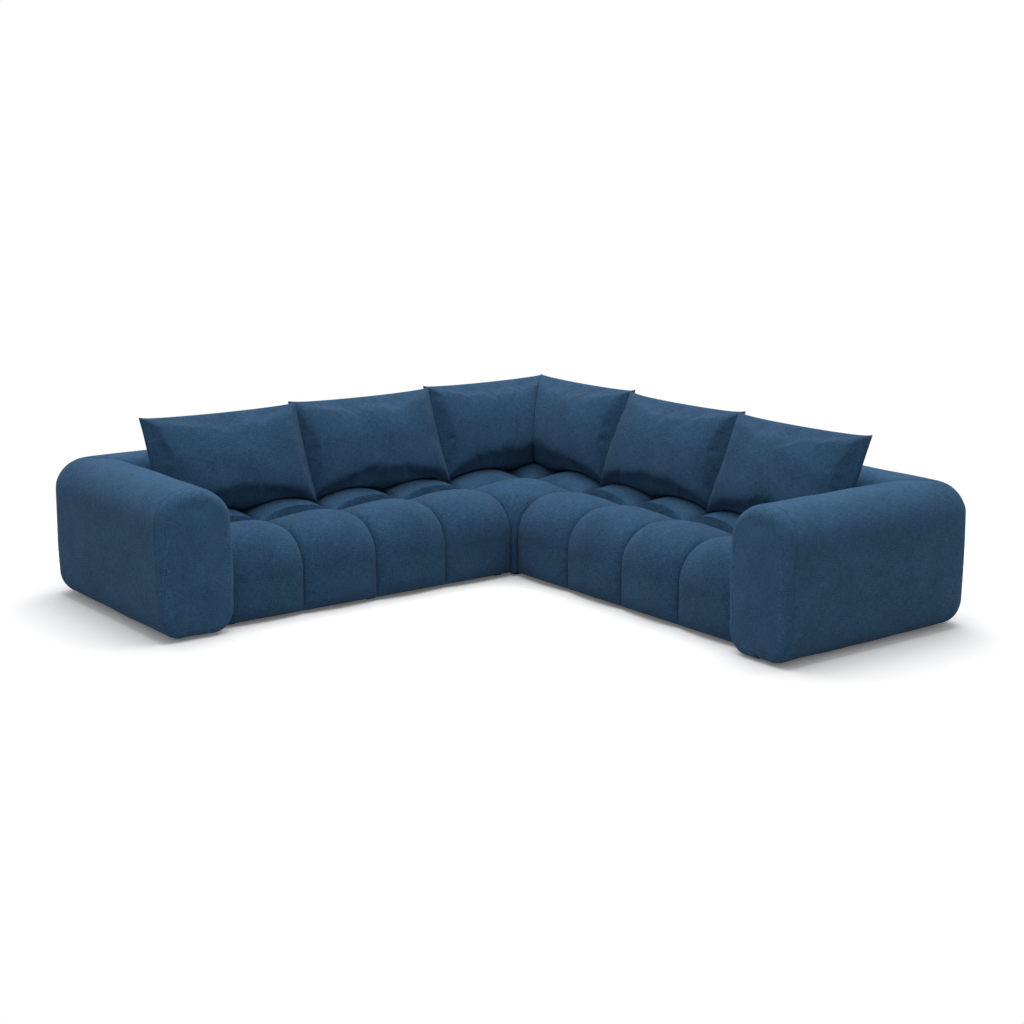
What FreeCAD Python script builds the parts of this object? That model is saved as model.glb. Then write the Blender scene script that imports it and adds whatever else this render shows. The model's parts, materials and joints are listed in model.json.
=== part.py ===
import FreeCAD, Part
import math
import os

# Corner sofa with quilted seats, padded bolster arms and back, and six loose cushions.
# Millimetres, +Z up, origin on the floor below the middle of the square that the sofa covers.
# The left wing runs along X at the back, the right wing is its mirror image across the plane x = y.

V = FreeCAD.Vector
ALONG_X = V(1, 0, 0)
ALONG_Y = V(0, 1, 0)
UP = V(0, 0, 1)

# Overall sizes
OVERALL = 2800.0            # outer side of the square plan
BOLSTER_WIDTH = 323.0       # arms and back share one section
BOLSTER_HEIGHT = 600.0
SEAT_DEPTH = 679.0          # seat front plane to bolster face
ARM_OVERHANG = 89.0         # arms stand ahead of the seat front
CORNER_LAP = 17.0           # corner section starts this far before the seat front line
SEAT_GAP = 6.0              # seat block to bolster face
JOINT_GAP = 1.0             # between the three sections

# Bolsters
TOP_RADIUS = 90.0
BASE_RADIUS = 100.0
PLAN_RADIUS = 110.0         # outer vertical corners
NOSE_RADIUS = 45.0          # rounding round the front panel of an arm
PADDING = 20.0              # cover with its wadding
BASE_CLOTH = 4.0            # cover under the bolster
FOAM_LAYER = 45.0           # foam over the timber
FOOT_CUT = 60.0             # chamfer along the foot of the foam core
CORNER_CUT = 66.0           # chamfer of the foam core at an outer vertical corner
BOARD = 18.0
BASE_BEAM = 60.0
SPACER_HEIGHT = 60.0
SPACER_LENGTH = 90.0
PANEL_BAY = 600.0           # aimed length of one bay between spacers
WINDOW_MARGIN = 85.0
WINDOW_RADIUS = 30.0

# Seat quilt
SEAM_HEIGHT = 370.0
PUFF_RISE = 42.0            # crest above the seams
FRONT_BULGE = 25.0
SEAM_LAND = 1.0             # low flat at the row seams, where two barrels meet
FRONT_ROUND = 150.0         # rounding of the seat's front edge at the seams
FRONT_FACET_COUNT = 4       # straight ribs round the front edge
QUILT_THICKNESS = 32.0
FRONT_ROW_DEPTH = 360.0     # front row of puffs
WING_PUFF_COUNT = 4
CORNER_STRIP = 8.0          # padded strip on the inner vertical corner
CORNER_STRIP_WIDTH = 40.0

# Seat frame and suspension
DUST_CLOTH = 1.0
RAIL_THICKNESS = 28.0
FOAM_LIP = 1.0              # upright edge of the seat foam below its rounding
MID_RAIL_DROP = 60.0        # middle rails stay below the sagging straps
SECTION_INSET = 9.0         # rails stand back from the joint between sections
STRAP_WIDTH = 60.0
STRAP_THICKNESS = 2.0
CROSS_STRAP_COUNT = 10
LONG_STRAP_COUNT = 3
CORNER_STRAP_COUNT = 5
FELT_THICKNESS = 5.0
BLOCK_LEG = 70.0            # glued corner blocks
BLOCK_HEIGHT = 90.0

# Hooks, feet and glides
HOOK_PLATE = 3.0
HOOK_WIDTH = 50.0
HOOK_HEIGHT = 90.0
HOOK_LIP = 24.0
HOOK_PLAY = 1.5             # between a hook's own plate and the upturned lip of its catch
HOOK_DROP = 40.0            # hook top below the rail top
HOOK_END_MARGIN = 150.0
SLOT_CLEARANCE = 5.0        # round a hook where it passes through a cover
FOOT_HEIGHT = 28.0
FOOT_SIZE = 48.0
GLIDE_HEIGHT = 10.0
GLIDE_SIZE = 44.0
GLIDE_END_MARGIN = 120.0
FOOT_TAPER = 0.8            # foot of a block against its top

# Back cushions
CUSHION_HEIGHT = 408.0
CUSHION_THICKNESS = 190.0
CUSHION_LEAN = 23.0         # degrees from upright
CUSHION_GAP = 2.0
PUFFS_PER_CUSHION = 2
REST_GAP = 0.3
COVER_CLOTH = 3.0
EDGE_ALLOWANCE = 14.0       # the filling stops this far short of the sewn edges
FILLING_SHOULDER = 0.5      # where the filling starts to narrow, from its middle to its edge

# Planes that the sizes lead to
OUTER = OVERALL / 2
FACE = OUTER - BOLSTER_WIDTH
SEAT_FRONT = FACE - SEAT_DEPTH
SEAT_END = FACE - SEAT_GAP
SECTION = SEAT_FRONT - CORNER_LAP
WING_END = SECTION - JOINT_GAP / 2
CORNER_SIDE = SECTION + JOINT_GAP / 2
ROW_SEAM = SEAT_FRONT + FRONT_ROW_DEPTH
PUFF_PITCH = (WING_END + SEAT_END) / WING_PUFF_COUNT
QUILT_BASE = SEAM_HEIGHT - QUILT_THICKNESS
SEAT_TOP = SEAM_HEIGHT + PUFF_RISE
RAIL_BASE = FOOT_HEIGHT + DUST_CLOTH
FOAM_BASE = SEAM_HEIGHT - FRONT_ROUND - FOAM_LIP
FELT_BASE = FOAM_BASE - FELT_THICKNESS
RAIL_TOP = FELT_BASE - STRAP_THICKNESS
FRAME_FRONT = SEAT_FRONT + QUILT_THICKNESS
CORNER_START = SECTION + SECTION_INSET
HOOK_TOP = RAIL_TOP - HOOK_DROP

# Planes inside a bolster
CORE_FACE = FACE + PADDING
CORE_OUTER = OUTER - PADDING
CORE_BASE = GLIDE_HEIGHT + BASE_CLOTH
CORE_TOP = BOLSTER_HEIGHT - PADDING
PANEL_BASE = CORE_BASE + FOOT_CUT
PANEL_TOP = CORE_TOP - FOAM_LAYER
FRAME_OUTER = CORE_OUTER - FOOT_CUT
CORE_SLIP = PADDING * math.sqrt(0.5)        # core stands back from the mitre
FRAME_SLIP = CORE_SLIP + BOARD


def box(x0, x1, y0, y1, z0, z1):
    """A block between two corners."""
    return Part.makeBox(x1 - x0, y1 - y0, z1 - z0, V(x0, y0, z0))


def prism(points, lift):
    """A flat outline of straight edges pushed along a vector."""
    face = Part.Face(Part.makePolygon(points + [points[0]]))
    return face.extrude(lift)


def plan_prism(outline, z0, z1):
    """An outline in plan raised from z0 to z1."""
    return prism([V(x, y, z0) for x, y in outline], V(0, 0, z1 - z0))


def rounded_face(corners):
    """Flat face through (point, radius) corners, with an arc wherever the radius isn't zero."""
    stops = []
    for index, (point, radius) in enumerate(corners):
        back = (corners[index - 1][0] - point).normalize()
        ahead = (corners[(index + 1) % len(corners)][0] - point).normalize()
        half = back.getAngle(ahead) / 2
        setback = radius / math.tan(half)
        middle = point + (back + ahead).normalize() * (radius / math.sin(half) - radius)
        stops.append((point + back * setback, middle, point + ahead * setback))
    edges = []
    for index, (start, middle, end) in enumerate(stops):
        if corners[index][1]:
            edges.append(Part.Arc(start, middle, end).toShape())
        edges.append(Part.LineSegment(end, stops[(index + 1) % len(stops)][0]).toShape())
    return Part.Face(Part.Wire(edges))


def spread(low, high, count):
    """Evenly spaced places from low to high, both included."""
    step = (high - low) / max(count - 1, 1)
    return [low + step * index for index in range(count)]


def tapered_block(x, y, size, height):
    """Square plastic foot, narrower at the floor."""
    low, high = size * FOOT_TAPER / 2, size / 2
    wedge = Part.makeWedge(-low, 0, -low, -high, -high, low, height, low, high, high)
    wedge.rotate(V(0, 0, 0), ALONG_X, 90)
    return wedge.translated(V(x, y, 0))


def group(solids):
    return Part.makeCompound(solids)


def one_piece(solids):
    """Solids that touch joined into one."""
    return solids[0].fuse(solids[1:]).removeSplitter()


def across_diagonal(shape):
    """The same piece on the other wing."""
    return shape.mirror(V(0, 0, 0), V(1, -1, 0))


def turned_to_arm(shape):
    """A back piece turned into the arm position at the rear left corner."""
    return shape.mirror(V(0, 0, 0), V(1, 1, 0))


def to_right_corner(shape):
    """A back piece from the rear left corner put at the rear right corner."""
    return shape.mirror(V(0, 0, 0), ALONG_X)


def moved_all(pieces, move):
    """Every shape or list of shapes in a set of pieces, put elsewhere by one movement."""
    return {name: [move(shape) for shape in item] if isinstance(item, list) else move(item)
            for name, item in pieces.items()}


# Hooks: a folded plate on one timber face drops over an upturned plate on the other


def hook_pair(corner, across, width, gap):
    """Hook and catch that bridge a gap, from a corner of the hook's own timber face."""
    plate = HOOK_PLATE
    low, high = -HOOK_HEIGHT, 0
    reach = gap - 2 * plate
    hook = [(0, low), (plate, low), (plate, high - plate), (reach - plate, high - plate),
            (reach - plate, high - HOOK_LIP), (reach, high - HOOK_LIP), (reach, high), (0, high)]
    floor = high - 2 * HOOK_LIP
    lip = plate + HOOK_PLAY
    catch = [(gap, low), (gap, high), (gap - plate, high), (gap - plate, floor), (lip + plate, floor),
             (lip + plate, high - plate), (lip, high - plate), (lip, floor - plate),
             (gap - plate, floor - plate), (gap - plate, low)]
    return [prism([corner + across * d + UP * z for d, z in outline], width) for outline in (hook, catch)]


# Bolsters: arms and backs are all built as a leg along X from the rear left corner


def bolster_body(end, nose):
    """Padded outer form, mitred and rounded at the corner, with a rounded free end if it is an arm."""
    low, high = GLIDE_HEIGHT, BOLSTER_HEIGHT
    section = rounded_face([(V(-OUTER, FACE, low), BASE_RADIUS), (V(-OUTER, FACE, high), TOP_RADIUS),
                            (V(-OUTER, OUTER, high), TOP_RADIUS), (V(-OUTER, OUTER, low), BASE_RADIUS)])
    body = section.extrude(V(end + OUTER, 0, 0))
    plan = rounded_face([(V(-OUTER, OUTER, 0), PLAN_RADIUS), (V(-OUTER, FACE, 0), 0),
                         (V(end, FACE, 0), nose), (V(end, OUTER, 0), nose)])
    body = body.common(plan.extrude(UP * high))
    body = body.common(plan_prism([(-FACE, FACE), (end, FACE), (end, OUTER), (-OUTER, OUTER)], 0, high))
    if nose:
        side = rounded_face([(V(-OUTER, FACE, low), 0), (V(end, FACE, low), nose),
                             (V(end, FACE, high), nose), (V(-OUTER, FACE, high), 0)])
        body = body.common(side.extrude(ALONG_Y * BOLSTER_WIDTH))
    return body


def bolster_core(end):
    """Space inside the padding: chamfered section, mitred at the corner."""
    outline = [(CORE_FACE + FOOT_CUT, CORE_BASE), (CORE_FACE, PANEL_BASE), (CORE_FACE, PANEL_TOP),
               (CORE_FACE + FOAM_LAYER, CORE_TOP), (CORE_OUTER - FOAM_LAYER, CORE_TOP),
               (CORE_OUTER, PANEL_TOP), (CORE_OUTER, PANEL_BASE), (FRAME_OUTER, CORE_BASE)]
    section = prism([V(-OUTER, y, z) for y, z in outline], V(end - PADDING + OUTER, 0, 0))
    half_cut = (CORNER_CUT - CORE_SLIP) / 2
    plan = [(-CORE_FACE + CORE_SLIP, CORE_FACE), (end, CORE_FACE), (end, CORE_OUTER),
            (-CORE_OUTER + CORNER_CUT, CORE_OUTER),
            (-CORE_OUTER + CORE_SLIP + half_cut, CORE_OUTER - half_cut)]
    return section.common(plan_prism(plan, 0, BOLSTER_HEIGHT))


def frame_room(end):
    """Space of the timber frame inside the foam."""
    reach = end - PADDING - FOAM_LAYER
    plan = [(-CORE_FACE + FRAME_SLIP, CORE_FACE), (reach, CORE_FACE), (reach, FRAME_OUTER),
            (-FRAME_OUTER + FRAME_SLIP, FRAME_OUTER)]
    return plan_prism(plan, CORE_BASE, PANEL_TOP)


def frame_bays(end):
    """Ends of the straight frame and the number of bays in it."""
    start = -CORE_FACE + FRAME_SLIP
    reach = end - PADDING - FOAM_LAYER
    return start, reach, max(1, round((reach - start) / PANEL_BAY))


def bolster_frame(end):
    """Two plywood panels with windows, timber spacers between them and a base beam."""
    start, reach, bays = frame_bays(end)
    room = frame_room(end)
    pitch = (reach - start) / bays
    low, high = PANEL_BASE + 2 * WINDOW_MARGIN, PANEL_TOP - WINDOW_MARGIN
    pieces = []
    for y in (CORE_FACE, FRAME_OUTER - BOARD):
        panel = box(-OUTER, reach, y, y + BOARD, PANEL_BASE, PANEL_TOP).common(room)
        for index in range(bays):
            left, right = start + pitch * index + WINDOW_MARGIN, start + pitch * (index + 1) - WINDOW_MARGIN
            corners = [V(left, y, low), V(right, y, low), V(right, y, high), V(left, y, high)]
            window = rounded_face([(corner, WINDOW_RADIUS) for corner in corners])
            panel = panel.cut(window.extrude(ALONG_Y * BOARD))
        pieces.append(panel)
    for x in spread(start, reach - SPACER_LENGTH, bays + 1):
        for z in (PANEL_BASE, PANEL_TOP - SPACER_HEIGHT):
            spacer = box(x, x + SPACER_LENGTH, CORE_FACE + BOARD, FRAME_OUTER - BOARD, z, z + SPACER_HEIGHT)
            pieces.append(spacer)
    beam = box(-OUTER, reach, CORE_FACE + FOOT_CUT, FRAME_OUTER, CORE_BASE, CORE_BASE + BASE_BEAM)
    return pieces + [beam.common(room)]


def bolster(end, nose=0.0):
    """Cover, foam, frame, glides and hook pairs of one leg that ends at x = end."""
    start, reach, bays = frame_bays(end)
    half = HOOK_WIDTH / 2
    middle = (FACE + OUTER) / 2
    hooks, catches, slots = [], [], []
    for x in spread(start + HOOK_END_MARGIN, reach - HOOK_END_MARGIN, bays + 1):
        corner = V(x - half, SEAT_END, HOOK_TOP)
        hook, catch = hook_pair(corner, ALONG_Y, ALONG_X * HOOK_WIDTH, CORE_FACE - SEAT_END)
        hooks.append(hook)
        catches.append(catch)
        side = half + SLOT_CLEARANCE
        low, high = HOOK_TOP - HOOK_HEIGHT - SLOT_CLEARANCE, HOOK_TOP + HOOK_LIP + SLOT_CLEARANCE
        slots.append(box(x - side, x + side, SEAT_END, CORE_FACE, low, high))
    core = bolster_core(end)
    glide_places = spread(-FACE, end - GLIDE_END_MARGIN, bays + 1)
    return {
        "cover": bolster_body(end, nose).cut([core] + slots),
        "foam": core.cut(frame_room(end)),
        "frame": group(bolster_frame(end)),
        "glides": [tapered_block(x, middle, GLIDE_SIZE, GLIDE_HEIGHT) for x in glide_places],
        "hooks": hooks,
        "catches": catches,
    }


# Quilted seats: each puff is a sewn pocket, cut from a block by barrels that pass through its seams


def barrel(start, end, up, rise, axis):
    """Long cylinder along an axis, through two seam points, that rises between them."""
    half = (end - start).Length / 2
    radius = (half ** 2 + rise ** 2) / (2 * rise)
    centre = (start + end) * 0.5 - up * (radius - rise)
    return Part.makeCylinder(radius, 2 * OVERALL, centre - axis * OVERALL, axis)


def front_path(inset):
    """Up the front, round the edge and back to the row seam, at a depth below the seams."""
    bend_y, bend_z = SEAT_FRONT + FRONT_ROUND, SEAM_HEIGHT - FRONT_ROUND
    reach = FRONT_ROUND - inset
    turns = [math.pi / 2 * step / FRONT_FACET_COUNT for step in range(FRONT_FACET_COUNT + 1)]
    bend = [V(0, bend_y - reach * math.cos(turn), bend_z + reach * math.sin(turn)) for turn in turns]
    return [V(0, SEAT_FRONT + inset, FOOT_HEIGHT)] + bend + [V(0, ROW_SEAM, SEAM_HEIGHT - inset)]


def front_puff(width):
    """Puff that runs up the front of the seat and over its edge, between x = 0 and the width."""
    seams, lining = front_path(0), front_path(QUILT_THICKNESS)
    clear = 2 * PUFF_RISE
    front, top = SEAT_FRONT - clear, SEAM_HEIGHT + clear
    block = [V(0, front, FOOT_HEIGHT), V(0, front, top), V(0, ROW_SEAM, top)] + lining[::-1]
    across = ALONG_X * width
    tools = []
    for index, (low, high) in enumerate(zip(seams, seams[1:])):
        along = (high - low).normalize()
        rise = FRONT_BULGE + (PUFF_RISE - FRONT_BULGE) * index / (FRONT_FACET_COUNT + 1)
        tools.append(barrel(low, low + across, V(0, -along.z, along.y), rise, along))
    brow = V(0, SEAT_FRONT, SEAM_HEIGHT + SEAM_LAND)
    tools.append(barrel(brow, seams[-1] + UP * SEAM_LAND, UP, PUFF_RISE, ALONG_X))
    hem = seams[0] - ALONG_Y * SEAM_LAND
    height = SEAM_HEIGHT - FRONT_ROUND - FOOT_HEIGHT
    tools.append(barrel(hem, hem + UP * 2 * height, -ALONG_Y, FRONT_BULGE, ALONG_X))
    puff = prism(block, across)
    for tool in tools:
        puff = puff.common(tool)
    return puff


def top_puff(x0, x1, y0, y1):
    """Puff on the flat of the seat: two crossed barrels over a block."""
    corner = V(x0, y0, SEAM_HEIGHT)
    puff = box(x0, x1, y0, y1, QUILT_BASE, SEAM_HEIGHT + 2 * PUFF_RISE)
    puff = puff.common(barrel(corner, V(x1, y0, SEAM_HEIGHT), UP, PUFF_RISE, ALONG_Y))
    near, far = corner + UP * SEAM_LAND, V(x0, y1, SEAM_HEIGHT + SEAM_LAND)
    return puff.common(barrel(near, far, UP, PUFF_RISE, ALONG_X))


def wing_quilt():
    """Pockets side by side, each with a puff over the front edge and one behind it."""
    pocket = one_piece([front_puff(PUFF_PITCH), top_puff(0, PUFF_PITCH, ROW_SEAM, SEAT_END)])
    places = [V(PUFF_PITCH * index - SEAT_END, 0, 0) for index in range(WING_PUFF_COUNT)]
    return group([pocket.translated(place) for place in places])


def corner_quilt():
    """Four puffs and the padded strip down the inner vertical corner."""
    lines = [CORNER_SIDE, ROW_SEAM, SEAT_END]
    spans = list(zip(lines, lines[1:]))
    puffs = [top_puff(x0, x1, y0, y1) for x0, x1 in spans for y0, y1 in spans]
    near, inner, far = CORNER_SIDE, CORNER_SIDE + CORNER_STRIP, CORNER_SIDE + CORNER_STRIP_WIDTH
    outline = [(near, near), (far, near), (far, inner), (inner, inner), (inner, far), (near, far)]
    first = one_piece([puffs[0], plan_prism(outline, FOOT_HEIGHT, QUILT_BASE)])
    return group([first] + puffs[1:])


# Seat frames


def rails_between(x0, x1, y0, y1, middles):
    """Front and rear rails along X, end rails and lower middle rails between them."""
    front = box(x0, x1, y0, y0 + RAIL_THICKNESS, RAIL_BASE, RAIL_TOP)
    rear = box(x0, x1, y1 - RAIL_THICKNESS, y1, RAIL_BASE, RAIL_TOP)
    inner0, inner1 = y0 + RAIL_THICKNESS, y1 - RAIL_THICKNESS
    end_top = RAIL_TOP - STRAP_THICKNESS
    ends = [box(x, x + RAIL_THICKNESS, inner0, inner1, RAIL_BASE, end_top) for x in (x0, x1 - RAIL_THICKNESS)]
    half = RAIL_THICKNESS / 2
    centres = spread(x0, x1, middles + 2)[1:-1]
    lower = [box(x - half, x + half, inner0, inner1, RAIL_BASE, RAIL_TOP - MID_RAIL_DROP) for x in centres]
    return front, rear, ends + lower


def straps(x0, x1, y0, y1, cross, along):
    """Elastic webbing: cross straps reach the rail tops, long straps run under them."""
    half = STRAP_WIDTH / 2
    margin = RAIL_THICKNESS + 2 * STRAP_WIDTH
    pieces = []
    for x in spread(x0 + margin, x1 - margin, cross):
        pieces.append(box(x - half, x + half, y0, y1, RAIL_TOP, FELT_BASE))
    for y in spread(y0 + margin, y1 - margin, along):
        pieces.append(box(x0, x1, y - half, y + half, RAIL_TOP - STRAP_THICKNESS, RAIL_TOP))
    return pieces


def corner_blocks(x0, x1, y0, y1):
    """Glued triangular blocks in the four inner corners of a seat frame."""
    blocks = []
    left, right = x0 + RAIL_THICKNESS, x1 - RAIL_THICKNESS
    front, rear = y0 + RAIL_THICKNESS, y1 - RAIL_THICKNESS
    for x, run in ((left, BLOCK_LEG), (right, -BLOCK_LEG)):
        for y, rise in ((front, BLOCK_LEG), (rear, -BLOCK_LEG)):
            outline = [(x, y), (x + run, y), (x, y + rise)]
            blocks.append(plan_prism(outline, RAIL_BASE, RAIL_BASE + BLOCK_HEIGHT))
    return blocks


def feet_below(x0, x1, y0, y1, count):
    """Feet in two rows along X, under the rails."""
    inset = BLOCK_LEG / 2
    return [tapered_block(x, y, FOOT_SIZE, FOOT_HEIGHT)
            for x in spread(x0 + inset, x1 - inset, count) for y in (y0 + inset, y1 - inset)]


def wing_foam(x0, x1):
    """Seat foam of a wing, cut to the lining of the quilt along its front edge."""
    bend = front_path(QUILT_THICKNESS)[1:-1]
    outline = [V(0, FRAME_FRONT, FOAM_BASE)] + bend + [V(0, SEAT_END, QUILT_BASE), V(0, SEAT_END, FOAM_BASE)]
    return prism(outline, V(x1 - x0, 0, 0)).translated(V(x0, 0, 0))


# Loose back cushions


def cushion_middle():
    """Middle of a cushion that leans from the seat crest on the bolster's top edge."""
    lean = math.radians(CUSHION_LEAN)
    half, thick = CUSHION_HEIGHT / 2, CUSHION_THICKNESS / 2
    radius = (half ** 2 + thick ** 2) / (2 * thick)
    mid_z = SEAT_TOP + REST_GAP + half * math.cos(lean)
    centre_z = mid_z + (radius - thick) * math.sin(lean)
    drop = centre_z - (BOLSTER_HEIGHT - TOP_RADIUS)
    reach = math.sqrt((radius + TOP_RADIUS + REST_GAP) ** 2 - drop ** 2)
    return V(0, FACE + TOP_RADIUS - reach + (radius - thick) * math.cos(lean), mid_z)


def cushion_lens(x):
    """Section of the cover: two arcs that meet in the sewn top and bottom edges."""
    lean = math.radians(CUSHION_LEAN)
    middle = cushion_middle() + V(x, 0, 0)
    along = V(0, math.sin(lean), math.cos(lean)) * (CUSHION_HEIGHT / 2)
    out = V(0, math.cos(lean), -math.sin(lean)) * (CUSHION_THICKNESS / 2)
    front = Part.Arc(middle - along, middle - out, middle + along).toShape()
    rear = Part.Arc(middle + along, middle + out, middle - along).toShape()
    return Part.Face(Part.Wire([front, rear]))


def cushion_hexagon(x, clearance):
    """Section of the filling, or of the room for it, inside the lens."""
    lean = math.radians(CUSHION_LEAN)
    half, thick = CUSHION_HEIGHT / 2, CUSHION_THICKNESS / 2
    radius = (half ** 2 + thick ** 2) / (2 * thick)
    shoulder = half * FILLING_SHOULDER
    depth = math.sqrt(radius ** 2 - shoulder ** 2) - (radius - thick) - COVER_CLOTH - clearance
    tip = half - EDGE_ALLOWANCE - clearance
    along = V(0, math.sin(lean), math.cos(lean))
    out = V(0, math.cos(lean), -math.sin(lean))
    middle = cushion_middle() + V(x, 0, 0)
    places = [(-tip, 0), (-shoulder, depth), (shoulder, depth),
              (tip, 0), (shoulder, -depth), (-shoulder, -depth)]
    points = [middle + along * a + out * b for a, b in places]
    return Part.Face(Part.makePolygon(points + [points[0]]))


def cushion_form(section, x0, x1, inset, mitred):
    """A section pushed along the cushion, stopped short of its ends, or cut at the mitre."""
    if not mitred:
        return section.extrude(V(x1 - x0 - 2 * inset, 0, 0))
    form = section.extrude(V(OUTER - x0 - inset, 0, 0))
    slip = (CUSHION_GAP / 2 + inset) * math.sqrt(2)
    return form.common(plan_prism([(x0, x0 + slip), (OUTER, OUTER + slip), (x0, OUTER + slip)], 0, OVERALL))


def cushion(x0, x1, mitred=False):
    """Sewn cover and the filling inside it."""
    room_inset, filling_inset = COVER_CLOTH, COVER_CLOTH + REST_GAP
    outer = cushion_form(cushion_lens(x0), x0, x1, 0, mitred)
    room = cushion_form(cushion_hexagon(x0 + room_inset, 0), x0, x1, room_inset, mitred)
    filling = cushion_form(cushion_hexagon(x0 + filling_inset, REST_GAP), x0, x1, filling_inset, mitred)
    return outer.cut(room), filling


# The sofa, piece by piece


def left_wing():
    """Pieces of the wing along the back wall, and the shared small parts that it needs."""
    arm = moved_all(bolster(ARM_OVERHANG - SEAT_FRONT, NOSE_RADIUS), turned_to_arm)
    back = bolster(WING_END)
    x0, x1 = -SEAT_END, SECTION - SECTION_INSET
    y0, y1 = FRAME_FRONT, SEAT_END
    front, rear, cross = rails_between(x0, x1, y0, y1, 2)
    pieces = {
        "seat_front_rail": front,
        "seat_rear_rail": rear,
        "seat_cross_rails": group(cross),
        "seat_webbing": group(straps(x0, x1, y0, y1, CROSS_STRAP_COUNT, LONG_STRAP_COUNT)),
        "spring_felt": box(x0, x1, y0, y1, FELT_BASE, FOAM_BASE),
        "seat_foam": wing_foam(x0, WING_END),
        "seat_quilt": wing_quilt(),
        "dust_cloth": box(x0, x1, y0, y1, FOOT_HEIGHT, RAIL_BASE),
    }
    for name in ("cover", "foam", "frame"):
        pieces["arm_" + name] = arm[name]
        pieces["back_" + name] = back[name]
    small = {name: arm[name] + back[name] for name in ("glides", "hooks", "catches")}
    small["feet"] = feet_below(x0, x1, y0, y1, 3)
    small["blocks"] = corner_blocks(x0, x1, y0, y1)
    for y in spread(CORNER_START + HOOK_END_MARGIN, SEAT_END - HOOK_END_MARGIN, 2):
        corner = V(x1, y - HOOK_WIDTH / 2, HOOK_TOP)
        hook, catch = hook_pair(corner, ALONG_X, ALONG_Y * HOOK_WIDTH, 2 * SECTION_INSET)
        small["hooks"].append(hook)
        small["catches"].append(catch)
    return pieces, small


def corner_section():
    """Pieces of the corner, and the shared small parts that it needs."""
    back = moved_all(bolster(-CORNER_SIDE), to_right_corner)
    low, high = CORNER_START, SEAT_END
    front, rear, cross = rails_between(low, high, low, high, 1)
    pieces = {
        "seat_rails": group([front, rear] + cross),
        "seat_webbing": group(straps(low, high, low, high, CORNER_STRAP_COUNT, CORNER_STRAP_COUNT)),
        "spring_felt": box(low, high, low, high, FELT_BASE, FOAM_BASE),
        "seat_foam": box(low, high, low, high, FOAM_BASE, QUILT_BASE),
        "seat_quilt": corner_quilt(),
        "dust_cloth": box(low, high, low, high, FOOT_HEIGHT, RAIL_BASE),
    }
    for name in ("cover", "foam", "frame"):
        pieces["left_back_" + name] = back[name]
        pieces["right_back_" + name] = across_diagonal(back[name])
    small = {name: back[name] + [across_diagonal(shape) for shape in back[name]]
             for name in ("glides", "hooks", "catches")}
    small["feet"] = feet_below(low, high, low, high, 2)
    small["blocks"] = corner_blocks(low, high, low, high)
    return pieces, small


def cushions():
    """Left half of the row and its mirror image, counted from the left arm to the right arm."""
    pieces = {}
    width = PUFF_PITCH * PUFFS_PER_CUSHION
    half = CUSHION_GAP / 2
    starts = [-SEAT_END + width * index for index in range(WING_PUFF_COUNT // PUFFS_PER_CUSHION)] + [SECTION]
    for index, start in enumerate(starts):
        both = cushion(start + half, start + width - half, start == SECTION)
        for part, shape in zip(("cover", "filling"), both):
            pieces["cushion_%d_%s" % (index + 1, part)] = shape
            pieces["cushion_%d_%s" % (2 * len(starts) - index, part)] = across_diagonal(shape)
    return pieces


def build():
    wing, small = left_wing()
    corner, corner_small = corner_section()
    pieces = {"corner_" + name: shape for name, shape in corner.items()}
    for name, shape in wing.items():
        pieces["left_" + name] = shape
        pieces["right_" + name] = across_diagonal(shape)
    names = {"glides": "bolster_glides", "feet": "seat_feet", "hooks": "frame_hooks",
             "catches": "frame_catches", "blocks": "corner_blocks"}
    for key, name in names.items():
        both = small[key] + [across_diagonal(shape) for shape in small[key]]
        pieces[name] = group(both + corner_small[key])
    pieces.update(cushions())
    return pieces


os.makedirs("parts", exist_ok=True)
for name, shape in build().items():
    shape.exportStep("parts/" + name + ".step")
    print(name, len(shape.Solids), shape.isValid(), round(shape.Volume / 1e6, 3))
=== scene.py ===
import json
import math

import bmesh
import bpy
import numpy as np
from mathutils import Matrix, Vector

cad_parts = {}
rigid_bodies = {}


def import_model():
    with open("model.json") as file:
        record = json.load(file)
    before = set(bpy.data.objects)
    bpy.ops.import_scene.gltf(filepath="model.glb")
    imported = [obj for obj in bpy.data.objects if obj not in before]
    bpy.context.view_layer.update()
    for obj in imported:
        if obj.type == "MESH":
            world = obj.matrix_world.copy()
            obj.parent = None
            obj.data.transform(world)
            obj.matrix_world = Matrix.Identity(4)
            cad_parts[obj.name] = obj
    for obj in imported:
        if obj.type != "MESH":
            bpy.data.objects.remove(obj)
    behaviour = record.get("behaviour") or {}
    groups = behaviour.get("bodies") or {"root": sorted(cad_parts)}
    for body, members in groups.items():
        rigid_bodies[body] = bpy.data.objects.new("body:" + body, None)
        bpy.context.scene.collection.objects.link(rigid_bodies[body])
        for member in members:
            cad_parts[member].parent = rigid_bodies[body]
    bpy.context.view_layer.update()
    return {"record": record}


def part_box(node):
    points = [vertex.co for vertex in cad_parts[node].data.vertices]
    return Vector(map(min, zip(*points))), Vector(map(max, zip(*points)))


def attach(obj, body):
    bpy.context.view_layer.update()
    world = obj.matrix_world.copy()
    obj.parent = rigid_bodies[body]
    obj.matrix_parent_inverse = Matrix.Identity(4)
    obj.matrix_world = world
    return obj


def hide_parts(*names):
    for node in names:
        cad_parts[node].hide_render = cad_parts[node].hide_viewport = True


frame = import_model()


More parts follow.
